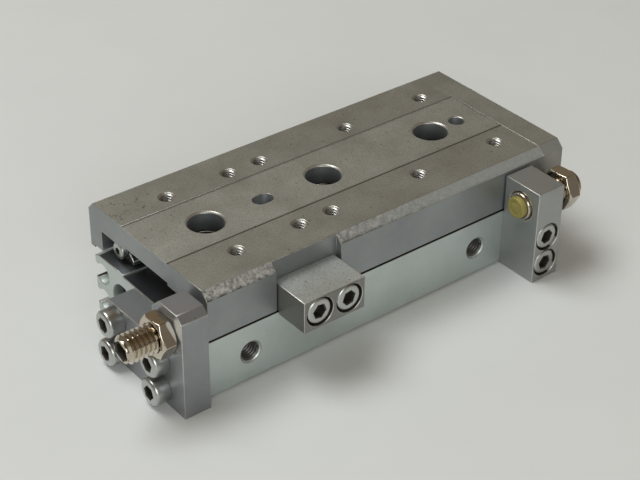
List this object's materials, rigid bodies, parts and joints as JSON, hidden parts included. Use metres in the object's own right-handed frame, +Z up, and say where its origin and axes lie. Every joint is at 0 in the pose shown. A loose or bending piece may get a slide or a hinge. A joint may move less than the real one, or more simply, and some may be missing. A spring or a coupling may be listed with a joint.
{
  "type": "air slide table",
  "caption": "Compact air-driven slide table on crossed roller guides, with adjustable end stops, an end plate and threaded holes in its top.",
  "frame": {"origin": "on the middle mounting hole's axis, at the underside of the cylinder body", "axes": "+X the way the table runs out, +Y away from the air ports and stops, +Z up through the table's top"},
  "size_m": [0.132, 0.0622, 0.0292],
  "materials": {
    "anodised_aluminium": "matt anodised",
    "plain_aluminium": "machined",
    "hardened_steel": "ground",
    "bearing_steel": "polished",
    "stainless_sheet": "rolled",
    "nickel_plated_steel": "nickel plated",
    "screw_steel": "satin",
    "spring_steel": "blackened",
    "bearing_brass": "turned",
    "magnet": "bonded",
    "seal_rubber": "matt",
    "urethane": "translucent"
  },
  "bodies": {
    "cylinder_base": {"cylinder_body": "anodised_aluminium", "centre_guide_rail": "hardened_steel", "centre_rail_screws": "screw_steel", "rear_adjuster_plate": "anodised_aluminium", "rear_plate_screws": "screw_steel", "rear_lock_nut": "nickel_plated_steel", "front_adjuster_block": "anodised_aluminium", "front_block_screws": "screw_steel", "near_head_cap": "plain_aluminium", "far_head_cap": "plain_aluminium", "near_head_cap_seal": "seal_rubber", "far_head_cap_seal": "seal_rubber", "near_head_cap_ring": "spring_steel", "far_head_cap_ring": "spring_steel", "near_rod_cover": "bearing_brass", "far_rod_cover": "bearing_brass", "near_rod_cover_ring": "spring_steel", "far_rod_cover_ring": "spring_steel", "near_rod_seal": "seal_rubber", "far_rod_seal": "seal_rubber"},
    "slide_table": {"table_plate": "anodised_aluminium", "end_plate": "anodised_aluminium", "end_plate_screws": "screw_steel", "rod_fixing_screws": "screw_steel", "stopper_block": "anodised_aluminium", "stopper_screws": "screw_steel", "guide_rail_screws": "screw_steel", "rail_end_screws": "screw_steel", "preload_set_screws": "screw_steel", "near_guide_rail": "hardened_steel", "far_guide_rail": "hardened_steel", "near_piston": "plain_aluminium", "far_piston": "plain_aluminium", "near_piston_seal": "seal_rubber", "far_piston_seal": "seal_rubber", "near_piston_magnet": "magnet", "far_piston_magnet": "magnet", "near_piston_rod": "hardened_steel", "far_piston_rod": "hardened_steel"},
    "near_cage": {"near_roller_cage": "stainless_sheet", "near_rollers": "bearing_steel"},
    "far_cage": {"far_roller_cage": "stainless_sheet", "far_rollers": "bearing_steel"},
    "rear_bumper_body": {"rear_bumper": "urethane"},
    "rear_screw_body": {"rear_adjusting_screw": "nickel_plated_steel"},
    "front_bumper_body": {"front_bumper": "urethane"},
    "front_screw_body": {"front_adjusting_screw": "nickel_plated_steel", "front_lock_nut": "nickel_plated_steel"}
  },
  "joints": [
    {"name": "table_travel", "type": "slide", "parent": "cylinder_base", "child": "slide_table", "axis": [1, 0, 0], "range_m": [0, 0.0516]},
    {"name": "near_cage_travel", "type": "slide", "parent": "cylinder_base", "child": "near_cage", "axis": [1, 0, 0], "range_m": [0, 0.0258]},
    {"name": "far_cage_travel", "type": "slide", "parent": "cylinder_base", "child": "far_cage", "axis": [1, 0, 0], "range_m": [0, 0.0258]},
    {"name": "rear_adjuster_travel", "type": "slide", "parent": "cylinder_base", "child": "rear_bumper_body", "axis": [-1, 0, 0], "range_m": [0, 0.005]},
    {"name": "rear_adjuster_turn", "type": "hinge", "parent": "rear_bumper_body", "child": "rear_screw_body", "pos_m": [-0.0618, -0.0213, 0.0211], "axis": [-1, 0, 0], "range_deg": [0, 1440]},
    {"name": "front_adjuster_travel", "type": "slide", "parent": "cylinder_base", "child": "front_bumper_body", "axis": [1, 0, 0], "range_m": [0, 0.005]},
    {"name": "front_adjuster_turn", "type": "hinge", "parent": "front_bumper_body", "child": "front_screw_body", "pos_m": [0.0472, -0.0311, 0.0204], "axis": [1, 0, 0], "range_deg": [0, 1440]}
  ],
  "couplings": [
    {"joint": "near_cage_travel", "follows": "table_travel", "ratio": 0.5},
    {"joint": "far_cage_travel", "follows": "table_travel", "ratio": 0.5},
    {"joint": "rear_adjuster_turn", "follows": "rear_adjuster_travel", "rad_per_m": 5026.5},
    {"joint": "front_adjuster_turn", "follows": "front_adjuster_travel", "rad_per_m": 5026.5}
  ]
}
